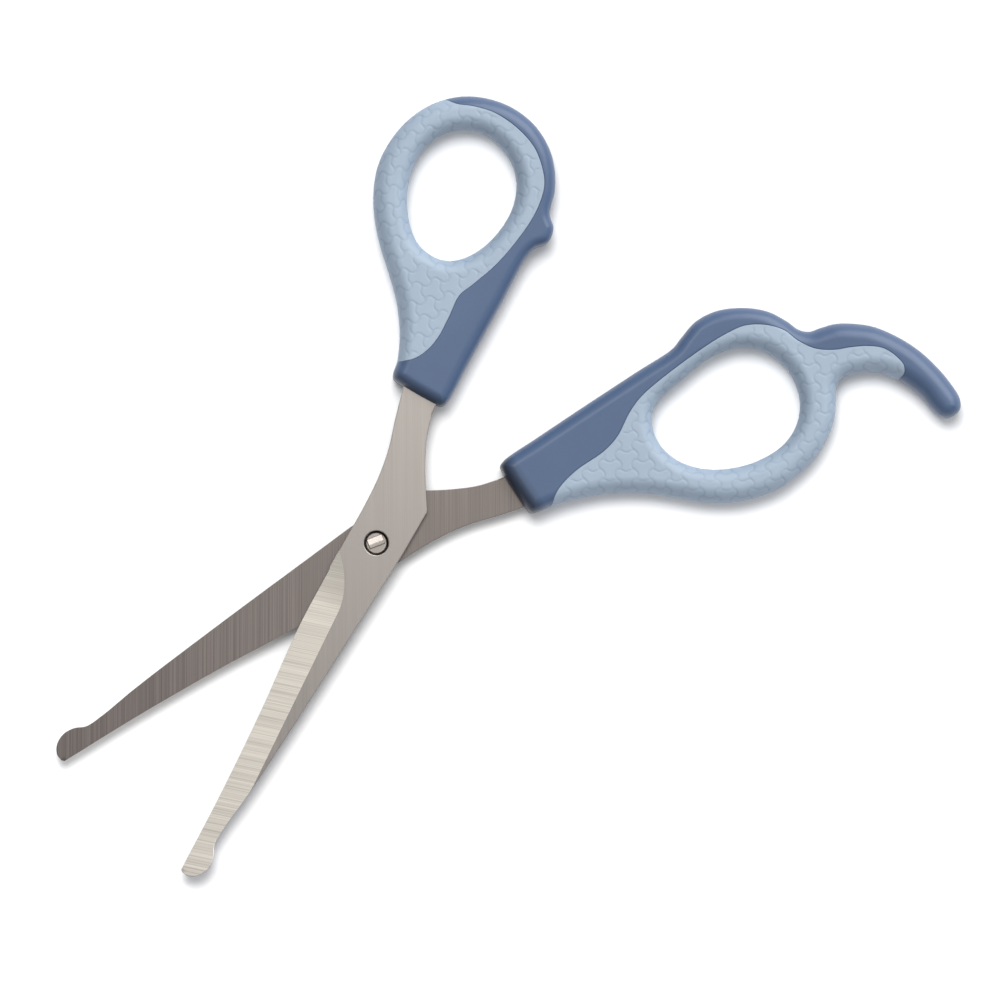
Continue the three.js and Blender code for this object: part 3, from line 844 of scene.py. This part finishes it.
def grip_material():
    """Soft plastic: cloudy, slightly darker on its sides and in its grooves by painted shade, with
    a fine grain.
    """
    n = Nodes("light_blue_grip")
    groove = n.add("ShaderNodeAttribute", attribute_name=GROOVE).outputs["Fac"]
    side = n.tilt()
    top = n.mixed(n.ranged(n.noise(GRIP_CLOUD, 3), 0, 1), GRIP_COLOUR, GRIP_COLOUR_PALE)
    # painted shade on the upright sides, mixed in by how far each face tilts
    body = n.mixed(n.ranged(side, 0, 1, 0, 1), top, GRIP_SIDE_PAINTED_SHADE)
    # painted shade in the grooves, stronger on tilted faces
    strength = n.ranged(side, *GROOVE_SHADE, 0, GROOVE_SHADE_TILT)
    shade = n.ranged(n.times(groove, strength), 0, 1, 0, 1)
    n.link(n.mixed(shade, body, GROOVE_PAINTED_SHADE), n.shader.inputs["Base Color"])
    grain = n.noise(GRIP_GRAIN, 3, 0.6)
    n.link(n.ranged(grain, *GRIP_ROUGHNESS), n.shader.inputs["Roughness"])
    n.link(n.bump(grain, GRIP_GRAIN_DEPTH), n.shader.inputs["Normal"])
    n.shader.inputs["Specular IOR Level"].default_value = GRIP_SPECULAR
    return n.material


def core_material():
    """Hard plastic with a faint waviness and grain, and painted shade at the ferrule's open end."""
    n = Nodes("dark_blue_plastic")
    plain = n.mixed(n.ranged(n.noise(CORE_CLOUD, 3), 0, 1), CORE_COLOUR, CORE_COLOUR_PALE)
    # painted shade: the ferrule's front end darkens along the lever
    mouth_shade = n.ranged(n.along_blade(), 0, 1, *MOUTH_SHADE_ENDS)
    n.link(n.mixed(mouth_shade, plain, MOUTH_PAINTED_SHADE), n.shader.inputs["Base Color"])
    grain = n.noise(CORE_GRAIN)
    n.link(n.ranged(grain, *CORE_ROUGHNESS), n.shader.inputs["Roughness"])
    waves = n.bump(n.noise(CORE_WAVE), CORE_WAVE_DEPTH)
    n.link(n.bump(grain, CORE_GRAIN_DEPTH, after=waves), n.shader.inputs["Normal"])
    return n.material


def steel_material(name, turn, light, dark, roughness, lines, bands):
    """Steel ground in lines at some degrees to the blade, darker towards its tip.

    Lines and bands say how much the fine lines and the broad bands change the steel's tone.
    """
    n = Nodes(name)
    fine = n.noise((LINE_LENGTH, LINE_WIDTH, LINE_LENGTH), 1, 0.5, turn)
    broad = n.noise((LINE_LENGTH, BAND_WIDTH, LINE_LENGTH), 1, 0.5, turn)
    colour = n.mixed(n.ranged(n.along_blade(), 1, 0, *TONE_ENDS), dark, light)
    for pattern, depth in ((fine, lines), (broad, bands)):
        colour = n.scaled(colour, n.ranged(pattern, 1 - depth, 1 + depth))
    n.link(colour, n.shader.inputs["Base Color"])
    spread = STEEL_ROUGHNESS_SPREAD
    rough = n.ranged(fine, roughness - spread, roughness + spread)
    n.link(rough, n.shader.inputs["Roughness"])
    n.link(n.bump(fine, LINE_DEPTH * lines), n.shader.inputs["Normal"])
    n.shader.inputs["Metallic"].default_value = 1.0
    return n.material


grip_blue, core_blue = grip_material(), core_material()
flat_steel = steel_material(
    "steel_flat",
    turn=30,
    light=(0.355, 0.325, 0.30),
    dark=(0.205, 0.187, 0.178),
    roughness=0.36,
    lines=0.04,
    bands=0.02,
)
bevel_steel = steel_material(
    "steel_bevel",
    turn=107,
    light=(0.65, 0.61, 0.54),
    dark=(0.62, 0.58, 0.52),
    roughness=0.34,
    lines=0.17,
    bands=0.05,
)
# The inner face's steel is darker than the flat: partly its own grinding, partly painted shade.
inner_steel = steel_material(
    "steel_inner",
    turn=-56,
    light=(0.196, 0.172, 0.158),
    dark=(0.136, 0.118, 0.111),
    roughness=0.36,
    lines=0.2,
    bands=0.03,
)
screw_steel = steel_material(
    "steel_screw",
    turn=0,
    light=(0.33, 0.30, 0.275),
    dark=(0.33, 0.30, 0.275),
    roughness=0.34,
    lines=0.12,
    bands=0.05,
)

# ---------------------------------------------------------------- the scissors

half_opening = math.radians(OPENING / 2)
upper_pose = Matrix.Translation(PIVOT) @ Matrix.Rotation(half_opening, 4, "Z")
lower_pose = Matrix.Translation(PIVOT) @ Matrix.Rotation(-half_opening, 4, "Z")
turned_over = lower_pose @ Matrix.Rotation(math.pi, 4, "X")

upper_moulding = Moulding(UPPER_HANDLE, UPPER_HOLE, UPPER_SEAM)
lower_moulding = Moulding(LOWER_HANDLE, LOWER_HOLE, LOWER_SEAM)

for side, moulding, pose, turn in (
    ("upper", upper_moulding, upper_pose, UPPER_TILE_TURN),
    ("lower", lower_moulding, lower_pose, LOWER_TILE_TURN),
):
    core_data, _ = moulded(moulding, 1, CORE_STEP, CORE_WALL_ROWS)
    core = make_piece(f"{side}_handle_core_shell", core_data, [core_blue], pose)
    declare(core, f"{side}_lever", f"{side}_handle_core")
    grip_data, seam_line = moulded(moulding, -1, GRIP_STEP, GRIP_WALL_ROWS)
    grip_data, groove = embossed(grip_data, moulding, seam_line, turn)
    grip = make_piece(f"{side}_grip_skin", grip_data, [grip_blue], pose, sharp=60)
    attribute = grip.data.attributes.new(GROOVE, "FLOAT", "POINT")
    attribute.data.foreach_set("value", groove.astype(np.float32))
    declare(grip, f"{side}_lever", f"{side}_grip")

blade_metals = [flat_steel, bevel_steel, inner_steel]
for side, pose, hole_radius in (
    ("upper", upper_pose, HOLE_UPPER),
    ("lower", turned_over, HOLE_LOWER),
):
    blade_data = blade_mesh(hole_radius)
    blade = make_piece(f"{side}_blade_ground", blade_data, blade_metals, pose, sharp=10)
    blade.data.polygons.foreach_set("material_index", grinding(blade_data))
    declare(blade, f"{side}_lever", f"{side}_blade")

screw = make_piece("pivot_screw_staked", screw_mesh(), [screw_steel], upper_pose, sharp=25)
declare(screw, "upper_lever", "pivot_screw")
washer = make_piece("tension_washer_ring", washer_mesh(), [screw_steel], upper_pose, sharp=25)
declare(washer, "upper_lever", "tension_washer")

# ---------------------------------------------------------------- floor, light and camera

# Sizes here are in metres. The floor's tone and the dome's light are linear red, green and blue.
PHOTO_RIGHT = Vector((-0.6826, 0.7308, 0))  # the photograph's own directions, on the table
PHOTO_UP = Vector((-0.7308, -0.6826, 0))
AIM = Vector((-0.00867, 0.00474, 0.0041))  # what the middle of the photograph shows
CAMERA_LEAN = Vector((0.999, -0.034, 0))  # the way the camera leans off the vertical
CAMERA_TILT = math.radians(4.5)
LENS, SENSOR = 800.0, 36.0  # millimetres
FRAME_WIDTH = 0.1863  # of what the photograph shows

FLOOR_HALF = 12.0
FLOOR_TONE, FLOOR_ROUGHNESS, FLOOR_SPECULAR = (0.89, 0.89, 0.89), 0.9, 0.1
HORIZON_LIGHT, ZENITH_LIGHT = (0.33, 0.365, 0.43), (0.72, 0.715, 0.71)
DOME_LOW, DOME_HIGH = 0.2, 0.8  # sines of the elevations between which the dome brightens


def make_floor():
    half = FLOOR_HALF
    mesh = bpy.data.meshes.new("floor")
    corners = [(-half, -half, 0), (half, -half, 0), (half, half, 0), (-half, half, 0)]
    mesh.from_pydata(corners, [], [(0, 1, 2, 3)])
    n = Nodes("floor_paper")
    n.shader.inputs["Base Color"].default_value = (*FLOOR_TONE, 1)
    n.shader.inputs["Roughness"].default_value = FLOOR_ROUGHNESS
    n.shader.inputs["Specular IOR Level"].default_value = FLOOR_SPECULAR
    mesh.materials.append(n.material)
    made = add_object("floor", mesh)
    return made


def make_world():
    """A pale dome, brightest overhead, whose light falls off towards the horizon."""
    world = bpy.data.worlds.new("studio")
    world.use_nodes = True
    tree = world.node_tree
    direction = tree.nodes.new("ShaderNodeTexCoord")
    split = tree.nodes.new("ShaderNodeSeparateXYZ")
    climb = tree.nodes.new("ShaderNodeMapRange")
    climb.interpolation_type = "SMOOTHSTEP"
    climb.inputs["From Min"].default_value = DOME_LOW
    climb.inputs["From Max"].default_value = DOME_HIGH
    tint = tree.nodes.new("ShaderNodeMix")
    tint.data_type = "RGBA"
    tint.inputs["A"].default_value = (*HORIZON_LIGHT, 1)
    tint.inputs["B"].default_value = (*ZENITH_LIGHT, 1)
    tree.links.new(direction.outputs["Generated"], split.inputs["Vector"])
    tree.links.new(split.outputs["Z"], climb.inputs["Value"])
    tree.links.new(climb.outputs["Result"], tint.inputs["Factor"])
    tree.links.new(tint.outputs["Result"], tree.nodes["Background"].inputs["Color"])
    bpy.context.scene.world = world


def softbox(name, direction, distance, size, light_given, lit=None):
    """A round lamp that gives a surface facing it this much light; lit limits what it lights."""
    light = bpy.data.lights.new(name, "AREA")
    light.shape = "DISK"
    light.size = size
    light.energy = light_given * (math.pi * distance) ** 2
    lamp = add_object(name, light)
    direction = direction.normalized()
    lamp.location = AIM + direction * distance
    lamp.rotation_euler = direction.to_track_quat("Z", "Y").to_euler()
    if lit:
        group = bpy.data.collections.new(name + "_lights")
        for one in lit:
            group.objects.link(one)
        lamp.light_linking.receiver_collection = group


def make_camera():
    data = bpy.data.cameras.new("camera")
    data.lens = LENS
    data.sensor_width = SENSOR
    data.clip_start = 0.01
    camera = add_object("camera", data)
    towards = CAMERA_LEAN * math.sin(CAMERA_TILT) + Vector((0, 0, 1)) * math.cos(CAMERA_TILT)
    right = (PHOTO_RIGHT - towards * PHOTO_RIGHT.dot(towards)).normalized()
    up = towards.cross(right)
    turn = Matrix((right, up, towards)).transposed().to_4x4()
    distance = FRAME_WIDTH * LENS / SENSOR
    camera.matrix_world = Matrix.Translation(AIM + towards * distance) @ turn
    bpy.context.scene.camera = camera


def towards_light(right, up, height):
    """A direction given by the photograph's right and up, and height off the table."""
    return PHOTO_RIGHT * right + PHOTO_UP * up + Vector((0, 0, height))


floor = make_floor()
make_world()
softbox("key", towards_light(-0.12, 0.32, 1.0), distance=1.4, size=0.4, light_given=0.16)
softbox(
    "side", towards_light(0.5, 0.68, 0.58), distance=2.0, size=2.2, light_given=1.32, lit=scissors
)
softbox(
    "table", towards_light(-0.1, 0.35, 1.0), distance=16.0, size=9.0, light_given=0.76, lit=[floor]
)
make_camera()
bpy.context.scene.view_settings.view_transform = "Standard"
